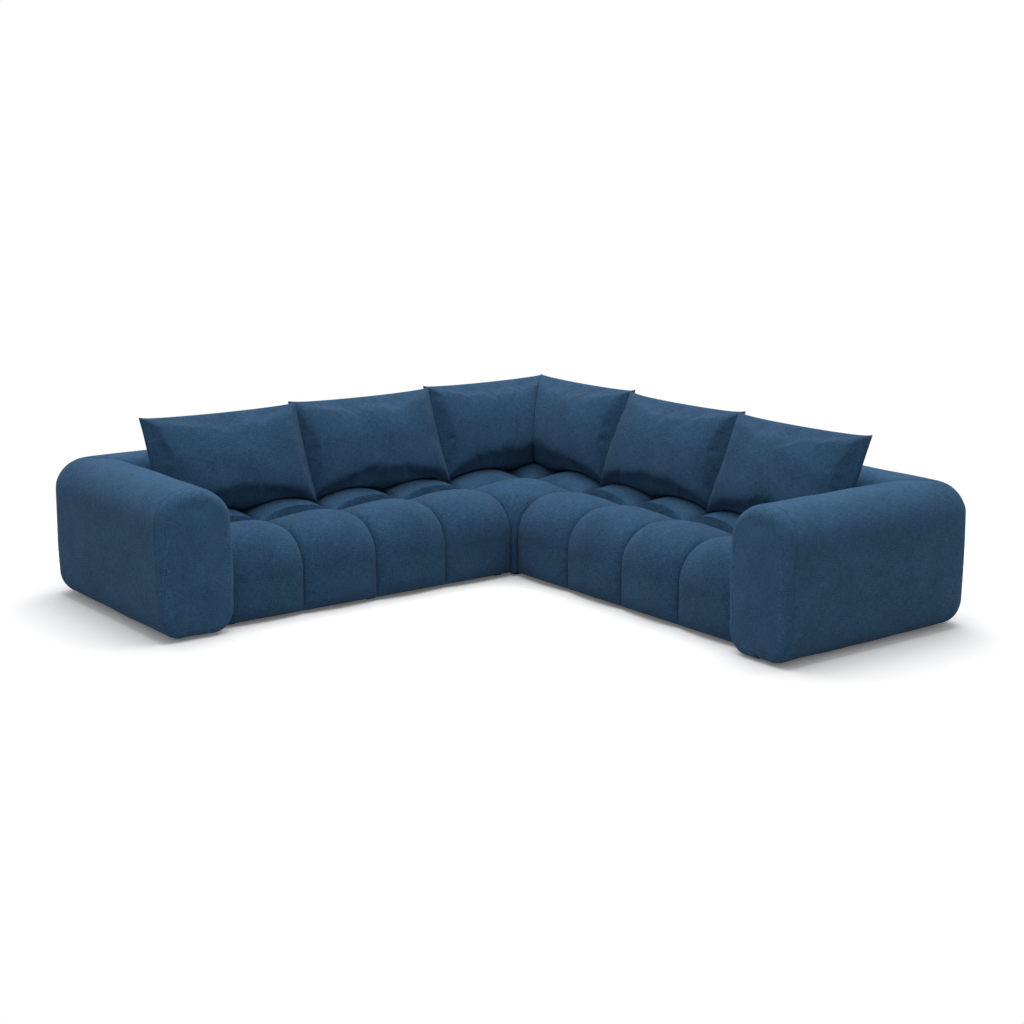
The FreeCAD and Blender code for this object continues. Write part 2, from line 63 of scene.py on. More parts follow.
# The photographer's place. The camera stands before the open side of the L, a little above the
# bolsters, and looks past the left arm towards the corner where the two wings meet.
camera_data = bpy.data.cameras.new("photo_camera")
camera_data.sensor_width = 36.0
camera_data.lens = 65.19
camera_data.clip_end = 60.0
camera = bpy.data.objects.new("photo_camera", camera_data)
camera.location = (-4.547, -6.162, 2.0965)
camera.rotation_euler = (math.radians(90.0 - 12.36), 0.0, math.radians(-36.92))
bpy.context.scene.collection.objects.link(camera)
bpy.context.scene.camera = camera
bpy.context.scene.view_settings.view_transform = "Standard"


# The studio floor. A pale sheet that shows the sofa's soft shadow close by and runs out to plain
# white; it reads as white to the camera and in reflections, and gives half its light back upwards.
class Socket:
    """A value in a material. Arithmetic on it adds Math nodes; add() puts in any other node."""

    def __init__(self, tree, socket=None):
        self.tree = tree
        self.socket = socket

    def add(self, kind, settings=(), values=(), out=0):
        """One node of a type, with its settings first, then a value or a link for each named socket."""
        node = self.tree.nodes.new("ShaderNode" + kind)
        for name, setting in dict(settings).items():
            setattr(node, name, setting)
        for name, value in dict(values).items():
            if isinstance(value, Socket):
                self.tree.links.new(value.socket, node.inputs[name])
            else:
                node.inputs[name].default_value = value
        return Socket(self.tree, node.outputs[out] if node.outputs else None)

    def ramp(self, stops):
        """Colours between stops of (place, colour), read at this value."""
        node = self.tree.nodes.new("ShaderNodeValToRGB")
        elements = node.color_ramp.elements
        for _ in stops[2:]:
            elements.new(0.5)
        for element, (place, colour) in zip(elements, stops):
            element.position = place
            element.color = (*colour, 1.0)
        self.tree.links.new(self.socket, node.inputs["Fac"])
        return Socket(self.tree, node.outputs["Color"])

    def maths(self, operation, first, second=0.0):
        return self.add("Math", {"operation": operation}, {0: first, 1: second})

    def __add__(self, other):
        return self.maths("ADD", self, other)

    __radd__ = __add__

    def __mul__(self, other):
        return self.maths("MULTIPLY", self, other)

    __rmul__ = __mul__

    def __sub__(self, other):
        return self.maths("SUBTRACT", self, other)

    def __rsub__(self, other):
        return self.maths("SUBTRACT", other, self)


def fresh_nodes(owner):
    """The emptied node tree of a material or world, as the start of an expression."""
    owner.use_nodes = True
    owner.node_tree.nodes.clear()
    return Socket(owner.node_tree)


FLOOR_REACH = 14.0
SHADOW_REACH = (2.2, 3.6)
FLOOR_SEEN = (1.0, 1.0, 1.0, 1.0)
FLOOR_BOUNCE = (0.48, 0.48, 0.48, 1.0)

floor_paint = bpy.data.materials.new("pale_floor")
start = fresh_nodes(floor_paint)
rays = start.add("LightPath").socket.node
seen = Socket(start.tree, rays.outputs["Is Camera Ray"])
for kind in ("Is Glossy Ray", "Is Transmission Ray"):
    seen = start.maths("MAXIMUM", seen, Socket(start.tree, rays.outputs[kind]))
place = start.add("TexCoord", out=3)
away = start.add("VectorMath", {"operation": "LENGTH"}, {0: place}, out=1)
far = start.add("MapRange", {"interpolation_type": "SMOOTHSTEP"},
                {"Value": away, "From Min": SHADOW_REACH[0], "From Max": SHADOW_REACH[1]})
colour = start.add("Mix", {"data_type": "RGBA"}, {0: seen, 6: FLOOR_BOUNCE, 7: FLOOR_SEEN}, out=2)
lit = start.add("BsdfDiffuse", (), {"Color": colour})
lift = start.add("Emission", (), {"Color": FLOOR_SEEN, "Strength": 0.09 * seen})
near = start.add("AddShader", (), {0: lit, 1: lift})
white = start.add("Emission", (), {"Color": (1.0, 1.0, 1.0, 1.0)})
start.add("OutputMaterial", (), {"Surface": start.add("MixShader", (), {0: far * seen, 1: near, 2: white})})

floor_mesh = bpy.data.meshes.new("floor")
corners = [(-FLOOR_REACH, -FLOOR_REACH, 0), (FLOOR_REACH, -FLOOR_REACH, 0),
           (FLOOR_REACH, FLOOR_REACH, 0), (-FLOOR_REACH, FLOOR_REACH, 0)]
floor_mesh.from_pydata(corners, [], [(0, 1, 2, 3)])
floor_mesh.materials.append(floor_paint)
floor = bpy.data.objects.new("floor", floor_mesh)
bpy.context.scene.collection.objects.link(floor)


# The light. An even pale room, and one very large soft panel above and a little behind the corner
# that makes the upper faces about twice as bright as the upright ones.
ROOM_LIGHT = 0.50
PANEL_SIDE = 6.0
PANEL_PLACE = (0.8, 0.8, 4.4)
PANEL_POWER = 275.0

room = bpy.data.worlds.new("pale_room")
bpy.context.scene.world = room
start = fresh_nodes(room)
rays = start.add("LightPath").socket.node
seen = Socket(start.tree, rays.outputs["Is Camera Ray"])
for kind in ("Is Glossy Ray", "Is Transmission Ray"):
    seen = start.maths("MAXIMUM", seen, Socket(start.tree, rays.outputs[kind]))
strength = ROOM_LIGHT + (1.0 - ROOM_LIGHT) * seen
backdrop = start.add("Background", (), {"Color": (1.0, 1.0, 1.0, 1.0), "Strength": strength})
start.add("OutputWorld", (), {"Surface": backdrop})

panel_data = bpy.data.lights.new("overhead_panel", "AREA")
panel_data.size = PANEL_SIDE
panel_data.energy = PANEL_POWER
panel = bpy.data.objects.new("overhead_panel", panel_data)
panel.location = PANEL_PLACE
panel.rotation_euler = (math.radians(-8), math.radians(8), 0)
bpy.context.scene.collection.objects.link(panel)


# The wing seats. Each is a quilt of woven blue chenille over wadding, sewn into four pockets that
# run up the front, round its edge and back under the cushions, where every seam pulls in hard.
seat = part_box("left_seat_quilt")
corner_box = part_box("corner_seat_quilt")
SEAT_LEFT = seat[0].x
SEAT_RIGHT = seat[1].x
SEAT_BACK = seat[1].y
HEM = seat[0].z - 0.012
EDGE_ROUND = 0.150
FRONT_ROW = 0.360
PUFF_COUNT = 4
TOP_SWELL = 0.058
FRONT_SWELL = 0.025
SEAT_FRONT = seat[0].y + FRONT_SWELL
SEAM_TOP = seat[1].z - TOP_SWELL - 0.018
ROW_SEAM = SEAT_FRONT + FRONT_ROW
SEAM_SINK = 0.009
SEAM_HALF = 0.010
HEM_TURN = 0.060
BOXING = 0.060


def grid_faces(rows, columns, joined=False):
    """Quads between neighbours on a grid; joined closes its columns into a tube."""
    index = np.arange(rows * columns).reshape(rows, columns)
    if joined:
        index = np.hstack([index, index[:, :1]])
    around = [index[:-1, :-1], index[:-1, 1:], index[1:, 1:], index[1:, :-1]]
    return np.stack(around, axis=-1).reshape(-1, 4)


def sewn(name, panels, weld=True):
    """One mesh from panels of (points, quads, places on the cloth in metres), welded where they meet."""
    points, quads, cloth = zip(*panels)
    firsts = np.cumsum([0] + [len(part) for part in points])
    quads = np.vstack([part + first for part, first in zip(quads, firsts)])
    points = np.vstack(points)
    cloth = np.vstack(cloth)
    mesh = bpy.data.meshes.new(name)
    mesh.vertices.add(len(points))
    mesh.vertices.foreach_set("co", points.astype(np.float32).ravel())
    mesh.loops.add(quads.size)
    mesh.loops.foreach_set("vertex_index", quads.astype(np.int32).ravel())
    mesh.polygons.add(len(quads))
    mesh.polygons.foreach_set("loop_start", np.arange(0, quads.size, 4, dtype=np.int32))
    mesh.polygons.foreach_set("use_smooth", np.ones(len(quads), bool))
    mesh.update(calc_edges=True)
    layer = mesh.uv_layers.new(name="weave")
    layer.data.foreach_set("uv", cloth[quads.ravel()].astype(np.float32).ravel())
    if weld:
        work = bmesh.new()
        work.from_mesh(mesh)
        bmesh.ops.remove_doubles(work, verts=work.verts, dist=2e-5)
        bmesh.ops.recalc_face_normals(work, faces=work.faces)
        work.to_mesh(mesh)
        work.free()
        mesh.set_sharp_from_angle(angle=math.radians(50.0))
    piece = bpy.data.objects.new(name, mesh)
    bpy.context.scene.collection.objects.link(piece)
    return piece


def ripples(places, seed, shortest, longest, count=7):
    """Smooth unevenness of about -1 to 1: sines of random direction and length summed over the places."""
    rng = np.random.default_rng(seed)
    total = np.zeros(len(places))
    for length in np.geomspace(longest, shortest, count):
        direction = rng.normal(size=places.shape[1])
        direction /= np.linalg.norm(direction)
        total += np.sin(2 * np.pi * (places @ direction) / length + rng.uniform(0, 2 * np.pi))
    return total / math.sqrt(count)


def pillowed(place):
    """Swell of a sewn puff from -1 at one seam to 1 at the other: (1 - place squared) to the power 0.68."""
    return np.clip(1.0 - np.asarray(place) ** 2, 0.0, 1.0) ** 0.68


def puff_place(values, seams):
    """Where each value lies between the two seams round it, as -1 to 1, and how far off the nearer one is."""
    span = np.clip(np.searchsorted(seams, values, side="right") - 1, 0, len(seams) - 2)
    low, high = seams[span], seams[span + 1]
    place = np.clip((values - low) / (high - low) * 2 - 1, -1, 1)
    return place, (1 - np.abs(place)) * (high - low) / 2


def bunched(low, high, count):
    """Places from low to high that crowd at both ends: half an even run and half a cosine run."""
    even = np.linspace(-1.0, 1.0, count)
    share = 0.35 * even - 0.65 * np.cos(np.pi * (even + 1) / 2)
    return low + (high - low) * (share + 1) / 2


def seam_columns(seams, count):
    """Places across all puffs of a row, crowded at every seam, each seam once."""
    runs = [bunched(low, high, count)[:-1] for low, high in zip(seams, seams[1:])]
    return np.concatenate(runs + [[seams[-1]]])


def sunk(distance):
    """Depth of the sewn groove at a distance from its seam: it dies away within a finger's width."""
    return SEAM_SINK * np.exp(-distance / SEAM_HALF)


def seat_line():
    """The seam line of a wing from under its hem to the back: straight up, a quarter turn, straight back."""
    under = np.column_stack([np.linspace(SEAT_FRONT + 0.020, SEAT_FRONT + 0.006, 5), np.full(5, HEM)])
    up = bunched(HEM + 0.006, SEAM_TOP - EDGE_ROUND, 34)
    rise = np.column_stack([np.full(len(up), SEAT_FRONT), up])
    turn = np.linspace(0, np.pi / 2, 40)[1:]
    bend = np.column_stack([SEAT_FRONT + EDGE_ROUND * (1 - np.cos(turn)),
                            SEAM_TOP - EDGE_ROUND * (1 - np.sin(turn))])
    flat = bunched(SEAT_FRONT + EDGE_ROUND, ROW_SEAM + (ROW_SEAM - SEAT_FRONT - EDGE_ROUND), 63)[1:32]
    back = bunched(ROW_SEAM, SEAT_BACK, 46)[1:]
    top = np.concatenate([flat, back])
    return np.vstack([under, rise, bend, np.column_stack([top, np.full(len(top), SEAM_TOP)])])


def wing_seat(seed):
    """Seam line pushed out along its normal by rise x swell across x swell along a puff, less the grooves."""
    line = seat_line()
    y, z = line.T
    run = np.concatenate([[0], np.cumsum(np.hypot(np.diff(y), np.diff(z)))])
    on_top = z >= SEAM_TOP - 1e-6
    turn = np.where(on_top, np.pi / 2, np.arcsin(np.clip((z - SEAM_TOP + EDGE_ROUND) / EDGE_ROUND, 0, 1)))
    hem_run = np.interp(HEM + 0.006, z[4:40], run[4:40])
    row_run = run[np.argmin(np.abs(y - ROW_SEAM))]
    to_hem = np.clip(1 - (run - hem_run) / HEM_TURN, 0, 1)
    to_row = np.clip(1 - (row_run - run) / 0.225, 0, 1)
    front = pillowed(to_hem) * pillowed(np.where(run < row_run, to_row, 0)) ** 1.2
    back, back_off = puff_place(y, np.array([ROW_SEAM, SEAT_BACK]))
    along = np.where(run <= row_run, front, pillowed(back)) * (run >= hem_run)
    rise = FRONT_SWELL + (TOP_SWELL - FRONT_SWELL) * np.sin(turn)
    seams = np.linspace(SEAT_LEFT, SEAT_RIGHT, PUFF_COUNT + 1)
    x = seam_columns(seams, 50)
    place, off = puff_place(x, seams)
    grid_x, grid_run = np.meshgrid(x, run)
    row_off = np.where(run <= row_run, row_run - run, back_off)
    swell = np.outer(rise * along, pillowed(place))
    cloth = np.stack([grid_x.ravel(), grid_run.ravel()], axis=1)
    uneven = 1 + 0.035 * ripples(cloth, seed, 0.10, 0.6).reshape(swell.shape)
    pucker = 0.0009 * ripples(cloth, seed + 1, 0.012, 0.03).reshape(swell.shape)
    near_seam = np.exp(-np.minimum(off[None, :], row_off[:, None]) / 0.022) * (run >= hem_run)[:, None]
    lift = swell * uneven + pucker * near_seam * np.minimum(swell / 0.004, 1)
    lift -= np.maximum(sunk(off)[None, :] * (run >= hem_run)[:, None], sunk(row_off)[:, None])
    turned_in = np.full((len(y), 2), [-BOXING, -BOXING / 3])
    lift = np.hstack([turned_in, lift, turned_in[:, ::-1]])
    full_x = np.concatenate([[x[0], x[0]], x, [x[-1], x[-1]]])
    grid_x = np.broadcast_to(full_x, lift.shape)
    grid_y = y[:, None] - lift * np.cos(turn)[:, None]
    grid_z = z[:, None] + lift * np.sin(turn)[:, None]
    side = np.abs(np.minimum(lift, 0.0)) * np.where(np.arange(lift.shape[1]) < 2, -1, 1)
    side[:, 2:-2] = 0
    flat = np.stack([(grid_x + side).ravel(), np.repeat(run, lift.shape[1])], axis=1)
    points = np.stack([grid_x.ravel(), grid_y.ravel(), grid_z.ravel()], axis=1)
    return points, grid_faces(*lift.shape), flat


def chenille(name, painted_shade_factor, shift):
    """Woven blue chenille: a plain weave of fine threads, slubs along both, flecks of dye and soft clouds.
    The shade factor scales the whole dye; below 1 it is painted shade.
    """
    cloth = bpy.data.materials.new(name)
    start = fresh_nodes(cloth)
    flat = start.add("UVMap", {"uv_map": "weave"})
    moved = start.add("Mapping", (), {"Vector": flat, "Location": (shift, shift * 1.7, 0.0)})

    def speckle(scale, detail, stretch=(1.0, 1.0, 1.0)):
        """Noise on the flat cloth, scale blobs to the metre, stretched along one thread or not at all."""
        drawn = start.add("Mapping", (), {"Vector": moved, "Scale": stretch})
        values = {"Vector": drawn, "Scale": scale, "Detail": detail}
        return start.add("TexNoise", {"noise_dimensions": "2D"}, values)

    warp_slub = speckle(34.0, 2.0, (1.0, 9.0, 1.0))
    weft_slub = speckle(34.0, 2.0, (9.0, 1.0, 1.0))
    fleck = speckle(260.0, 3.0)
    fuzz = speckle(700.0, 2.0)
    cloud = speckle(7.0, 2.0)
    apart = start.add("SeparateXYZ", (), {0: moved}).socket.node
    along = Socket(start.tree, apart.outputs["X"]) * 4488.0 + 5.0 * fleck
    across = Socket(start.tree, apart.outputs["Y"]) * 4488.0 + 5.0 * fuzz
    threads = start.maths("SINE", along) * start.maths("SINE", across)
    tone = 0.30 * warp_slub + 0.30 * weft_slub + 0.30 * fleck + 0.16 * fuzz + 0.14 * cloud + 0.03 * threads
    # The shade factor scales every tone of the dye: below 1 it makes darker copies of one cloth, painted
    # shade for parts that sit in shade.
    deep, plain, light = [tuple(channel * factor * painted_shade_factor for channel in (0.0375, 0.1000, 0.1900))
                          for factor in (0.66, 1.0, 1.42)]
    dye = tone.ramp([(0.46, deep), (0.60, plain), (0.74, light)])
    nap = 0.45 * threads + 0.9 * fuzz + 1.1 * fleck + 0.8 * warp_slub + 0.8 * weft_slub
    bump = start.add("Bump", (), {"Strength": 0.6, "Distance": 0.0011, "Height": nap})
    shader = start.add("BsdfPrincipled", (), {
        "Base Color": dye, "Roughness": 0.95, "Normal": bump, "Specular IOR Level": 0.08,
        "Sheen Weight": 0.05, "Sheen Roughness": 0.4})
    start.add("OutputMaterial", (), {"Surface": shader})
    return cloth


def finished(piece, cloth, body, slot, fill, *nodes):
    """A padded piece of the sofa in its cloth, on its body, in place of its plain solids."""
    piece.data.materials.append(cloth)
    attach(piece, body)
    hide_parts(*nodes)


def other_wing(panel):
    """The same panel across the plane x = y, turned so that it still faces outwards."""
    points, quads, cloth = panel
    return points[:, [1, 0, 2]], quads[:, ::-1], cloth


# The seat cloth is the bolsters' chenille darkened to 82%: painted shade for the seats and corner strip,
# which lie in the shade inside the L.
shaded_seat_cloth = chenille("seat_chenille_painted_shade", 0.82, 0.37)
left_seat = sewn("left_seat", [wing_seat(11)])
right_seat = sewn("right_seat", [other_wing(wing_seat(23))])
for piece, node in ((left_seat, "left_seat_quilt"), (right_seat, "right_seat_quilt")):
    shell = piece.modifiers.new("cloth_thickness", "SOLIDIFY")
    shell.thickness = 0.004
    shell.offset = -1.0
    finished(piece, shaded_seat_cloth, "sofa_base", "seat_fabric", 0.8, node, node.replace("quilt", "foam"))


# The corner seat. Four puffs of the same quilt; the nearest one flows down over the inner corner
# into a narrow padded strip between the two wing fronts.
CORNER_LEFT = corner_box[0].x
LAP = SEAT_FRONT - CORNER_LEFT
STRIP_REACH = 0.045
STRIP_ROUND = 0.011
STRIP_TOP = SEAM_TOP - EDGE_ROUND


def corner_seat_panel(seed):
    """Height over plan: seam height, less a quarter round towards the inner corner, plus crossed swells."""
    seams = np.array([CORNER_LEFT, ROW_SEAM, SEAT_BACK])
    line = seam_columns(seams, 64)
    place, off = puff_place(line, seams)
    grid_x, grid_y = np.meshgrid(line, line)
    reach = (grid_x - CORNER_LEFT) + (grid_y - CORNER_LEFT)
    short = np.clip(1 - (reach - LAP) / EDGE_ROUND, 0, 1)
    base = SEAM_TOP - EDGE_ROUND * (1 - np.sqrt(np.clip(1 - short ** 2, 0, 1)))
    cloth = np.stack([grid_x.ravel(), grid_y.ravel()], axis=1)
    swell = TOP_SWELL * np.outer(pillowed(place), pillowed(place))
    near_seam = np.exp(-np.minimum(off[None, :], off[:, None]) / 0.022) * np.minimum(swell / 0.004, 1)
    swell = swell * (1 + 0.035 * ripples(cloth, seed, 0.10, 0.6).reshape(swell.shape))
    swell += 0.0009 * ripples(cloth, seed + 1, 0.012, 0.03).reshape(swell.shape) * near_seam
    height = base + swell - np.maximum(sunk(off)[None, :], sunk(off)[:, None])
    height = np.pad(height - SEAM_TOP, 1, constant_values=0) + SEAM_TOP
    wide = np.concatenate([[line[0]], line, [line[-1]]])
    grid_x, grid_y = np.meshgrid(wide, wide)
    edge = np.pad(base, 1, mode="edge")
    rim = np.ones_like(height, bool)
    rim[1:-1, 1:-1] = False
    height = np.where(rim, edge - BOXING, height)
    flat_line = np.concatenate([[line[0] - BOXING], line, [line[-1] + BOXING]])
    flat_x, flat_y = np.meshgrid(flat_line, flat_line)
    points = np.stack([grid_x.ravel(), grid_y.ravel(), height.ravel()], axis=1)
    return points, grid_faces(*height.shape), np.stack([flat_x.ravel(), flat_y.ravel()], axis=1)


def corner_strip():
    """A plan line, straight, quarter round, straight, carried up the corner and leaned back at its top."""
    turn = np.linspace(0, np.pi / 2, 14)
    bend = STRIP_ROUND * np.column_stack([1 - np.cos(turn), 1 - np.sin(turn)])
    leg = np.linspace(STRIP_REACH, STRIP_ROUND, 6)[:-1]
    first = np.column_stack([np.zeros_like(leg), leg])
    plan = np.vstack([first, bend, first[::-1, ::-1]])
    z = np.concatenate([[HEM + 0.002], np.linspace(HEM + 0.008, STRIP_TOP + 0.06, 40)])
    back = np.clip((z - STRIP_TOP + 0.02) / 0.09, 0, 1) ** 2 * 0.022
    back[0] = 0.006
    x = CORNER_LEFT + plan[None, :, 0] + back[:, None]
    y = CORNER_LEFT + plan[None, :, 1] + back[:, None]
    grid_z = np.broadcast_to(z[:, None], x.shape)
    run = np.linspace(0, 2 * STRIP_REACH, len(plan))
    points = np.stack([x.ravel(), y.ravel(), grid_z.ravel()], axis=1)
    cloth = np.stack([np.tile(run, len(z)), grid_z.ravel()], axis=1)
    return points, grid_faces(*x.shape), cloth


corner_seat = sewn("corner_seat", [corner_seat_panel(5)])
strip = sewn("corner_seat_strip", [corner_strip()])
for piece in (corner_seat, strip):
    shell = piece.modifiers.new("cloth_thickness", "SOLIDIFY")
    shell.thickness = 0.004
    shell.offset = -1.0
    finished(piece, shaded_seat_cloth, "sofa_base", "seat_fabric", 0.8, "corner_seat_quilt", "corner_seat_foam")


# The arms and the back. One thick bolster runs round the sofa in six lengths: a cover of the same
# chenille over wadding and foam, seamed along every mitre and round the front panel of each arm.
back_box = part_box("left_back_cover")
arm_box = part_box("left_arm_cover")
corner_back_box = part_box("corner_left_back_cover")
OUTER = back_box[1].y
FACE = back_box[0].y
BASE = back_box[0].z
TOP = back_box[1].z
HALF_WIDTH = (OUTER - FACE) / 2
HEIGHT = TOP - BASE
TOP_ROUND = (0.135, 0.120)
BASE_ROUND = (0.085, 0.095)
PLAN_ROUND = 0.115
CROWN = 0.009
SIDE_SWELL = 0.006
MITRE_SINK = 0.007
NOSE_DEPTH = 0.045
NOSE_DEPTH_ABOVE = 0.030
NOSE_TURN = 0.042
NOSE_CROWN = 0.012


def bolster_section(count):
    """Rounded outline by elliptic corners, swollen sides and a crowned top: offsets, normals and girth."""
    quarter = np.linspace(0, np.pi / 2, 50)
    base = np.column_stack([HALF_WIDTH - BASE_ROUND[0] * (1 - np.sin(quarter)),
                            BASE_ROUND[1] * (1 - np.cos(quarter))])
    top = np.column_stack([HALF_WIDTH - TOP_ROUND[0] * (1 - np.cos(quarter)),
                           HEIGHT - TOP_ROUND[1] * (1 - np.sin(quarter))])
    half = np.vstack([[[0.0, 0.0]], base, top, [[0.0, HEIGHT]]])
    loop = np.vstack([half, half[-2:0:-1] * [-1, 1], half[:1]])
    girth = np.concatenate([[0], np.cumsum(np.hypot(*np.diff(loop, axis=0).T))])
    even = np.linspace(0, girth[-1], count + 1)
    across = np.interp(even, girth, loop[:, 0])
    up = np.interp(even, girth, loop[:, 1])
    share = up / HEIGHT
    side = np.sign(across) * (np.abs(across) / HALF_WIDTH) ** 4
    across = across + side * SIDE_SWELL * np.sin(np.pi * share)
    up = up + CROWN * (1 - (across / HALF_WIDTH) ** 2) * np.clip(share * 2 - 1, 0, 1) ** 2
    slope = np.column_stack([np.gradient(across), np.gradient(up)])
    slope[[0, -1]] = [1.0, 0.0]
    normal = np.column_stack([slope[:, 1], -slope[:, 0]]) / np.hypot(*slope.T)[:, None]
    return across, up, normal, even


def leg_stations(length, fine):
    """Shares of a length, every 14 mm in its middle and crowded towards both ends."""
    close = np.array([0, 1.2, 2.5, 4, 6, 9, 13, 18, 25, 34]) / 1000.0
    tail = np.arange(0.0, 0.034, fine)
    middle = np.arange(0.045, length - 0.045, 0.014)
    return np.concatenate([close, middle, length - tail[::-1]]) / length


def rounded_corner(points):
    """The square outer corner made round in plan: each square ring round its centre becomes a circle."""
    inward = np.array([-OUTER + PLAN_ROUND, OUTER - PLAN_ROUND])
    part = (points[:, :2] - inward) * [-1, 1] / PLAN_ROUND
    inside = (part > 0).all(axis=1)
    ring = part.max(axis=1)
    length = np.hypot(*part.T)
    scale = np.where(inside & (length > 0), ring / np.maximum(length, 1e-9), 1.0)
    moved = points.copy()
    moved[:, :2] = inward + part * scale[:, None] * PLAN_ROUND * [-1, 1]
    return moved


def bolster_leg(end, seed, nose):
    """Section carried along X from the mitre to an end, sunk at both seams; an arm's end gets its panel."""
    across, up, normal, girth = bolster_section(176)
    y = (FACE + OUTER) / 2 + across
    z = BASE + up
    above = np.clip((up / HEIGHT - 0.5) * 2, 0, 1) ** 2
    stop = end - nose * (NOSE_DEPTH + NOSE_DEPTH_ABOVE * above) * np.ones_like(y)
    share = leg_stations(end + OUTER, 0.0022)[:, None]
    x = -y + (stop + y) * share
    from_mitre = np.maximum((x + y) * math.sqrt(0.5), 0)
    from_end = stop - x
    sink = MITRE_SINK * np.exp(-(from_mitre / 0.012) ** 1.3) + 0.0035 * np.exp(-(from_mitre / 0.003) ** 2)
    end_sink = 0.0030 if nose else 0.0080
    sink += end_sink * np.exp(-(np.abs(from_end) / (0.0030 if nose else 0.007)) ** 1.5)
    cloth = np.stack([x.ravel(), np.tile(girth, len(share))], axis=1)
    sink += 0.0016 * ripples(cloth, seed, 0.25, 0.9).reshape(x.shape) * np.minimum(from_mitre / 0.05, 1)
    near_seam = np.exp(-np.minimum(from_end, from_mitre) / 0.04)
    sink += 0.0005 * ripples(cloth, seed + 1, 0.03, 0.12).reshape(x.shape) * near_seam
    grid_y = y - sink * normal[:, 0]
    grid_z = z - sink * normal[:, 1]
    mitre_end = [np.stack([-c, c, d], axis=1) for c, d in
                 (((FACE + OUTER) / 2 + (grid_y[0] - (FACE + OUTER) / 2) * k,
                   (BASE + TOP) / 2 + (grid_z[0] - (BASE + TOP) / 2) * k) for k in (0.0, 0.5))]
    body = np.stack([x, grid_y, grid_z], axis=-1)
    rows = [row[None] for row in mitre_end] + [body]
    flat = [np.stack([x[0], girth], axis=1)[None]] * 2
    flat.append(np.stack([x, np.broadcast_to(girth, x.shape)], axis=-1))
    if not nose:
        middle = np.array([(FACE + OUTER) / 2, (BASE + TOP) / 2])
        for k in (0.5, 0.0):
            ring = middle + (body[-1][:, 1:] - middle) * k
            rows.append(np.column_stack([body[-1][:, 0], ring])[None])
            flat.append(flat[-1][-1:])
    points = np.concatenate(rows)
    flat = np.concatenate(flat)
    shape = points.shape[:2]
    panels = [(rounded_corner(points.reshape(-1, 3)), grid_faces(*shape), flat.reshape(-1, 2))]
    if nose:
        panels.append(arm_front(body[-1], normal, stop, end, seed))
    return panels


def arm_front(rim, normal, stop, end, seed):
    """A quarter round turns the cloth in from the seam; it then closes to the middle over a low crown."""
    turn = np.linspace(0, np.pi / 2, 22)[:, None]
    depth = end - stop - NOSE_CROWN
    puff = 0.0030 * np.sin(np.clip(turn * 4, 0, np.pi / 2))
    inset = NOSE_TURN * (1 - np.cos(turn)) - puff * np.cos(turn)
    x = stop + depth * np.sin(turn)
    y = rim[:, 1] - inset * normal[:, 0]
    z = rim[:, 2] - inset * normal[:, 1]
    middle_y, middle_z = (FACE + OUTER) / 2, (BASE + TOP) / 2 + 0.02
    share = np.linspace(1, 0, 26)[1:, None]
    close_y = middle_y + (y[-1] - middle_y) * share
    close_z = middle_z + (z[-1] - middle_z) * share
    close_x = x[-1] + NOSE_CROWN * (1 - share ** 2)
    points = np.stack([np.vstack([x, close_x]), np.vstack([y, close_y]), np.vstack([z, close_z])], axis=-1)
    points[0] = rim
    turn_length = np.vstack([turn * 0.060, np.full_like(share, 0.060 * np.pi / 2)])
    outward = normal * np.vstack([np.ones_like(turn), share])[..., None]
    flat = points[..., 1:] + turn_length[..., None] * outward
    lift = 0.0012 * ripples(flat.reshape(-1, 2), seed + 2, 0.15, 0.5).reshape(points.shape[:2])
    points[1:, :, 0] += lift[1:] * np.linspace(0, 1, len(points))[1:, None]
    return points.reshape(-1, 3), grid_faces(*points.shape[:2]), flat.reshape(-1, 2)


def placed(panels, move):
    """Every panel of a leg moved by a function of its points."""
    return [(move(points), quads, cloth) for points, quads, cloth in panels]


bolster_cloth = chenille("bolster_chenille", 1.0, 2.91)
ARM_END = -arm_box[0].y
BACK_END = back_box[1].x
CORNER_END = -corner_back_box[0].x
LEGS = {
    "left_arm": (ARM_END, 31, 1, lambda p: np.column_stack([-p[:, 1], -p[:, 0], p[:, 2]])),
    "left_back": (BACK_END, 32, 0, lambda p: p),
    "corner_left_back": (CORNER_END, 33, 0, lambda p: np.column_stack([-p[:, 0], p[:, 1], p[:, 2]])),
    "corner_right_back": (CORNER_END, 34, 0, lambda p: np.column_stack([p[:, 1], -p[:, 0], p[:, 2]])),
    "right_back": (BACK_END, 35, 0, lambda p: np.column_stack([p[:, 1], p[:, 0], p[:, 2]])),
    "right_arm": (ARM_END, 36, 1, lambda p: np.column_stack([-p[:, 0], -p[:, 1], p[:, 2]])),
}
for name, (end, seed, nose, move) in LEGS.items():
    piece = sewn(name, placed(bolster_leg(end, seed, nose), move))
    finished(piece, bolster_cloth, "sofa_base", "bolster_fabric", 0.9, name + "_cover", name + "_foam")


# The back cushions. Six loose covers of two flat panels sewn edge to edge and stuffed with fibre,
# so that their sides draw in, their corners stand out as ears, and the seams pucker.
PANEL_WIDTH = 0.766
PANEL_HEIGHT = 0.478
CUSHION_THICK = 0.170
SIDE_DRAW = 0.008
TOP_DRAW = 0.009
CELL = 0.0105
FRAMES = 20
MOST_MOVE = 0.026
SEAM_MOVE = 0.006
SEAM_REACH = 0.07
SPARE_CLOTH = 0.03
PRESSURE = 4.0
LOW_BELLY = 0.14
LEAN = math.radians(22.5)
FOLD_CLEAR = 0.003


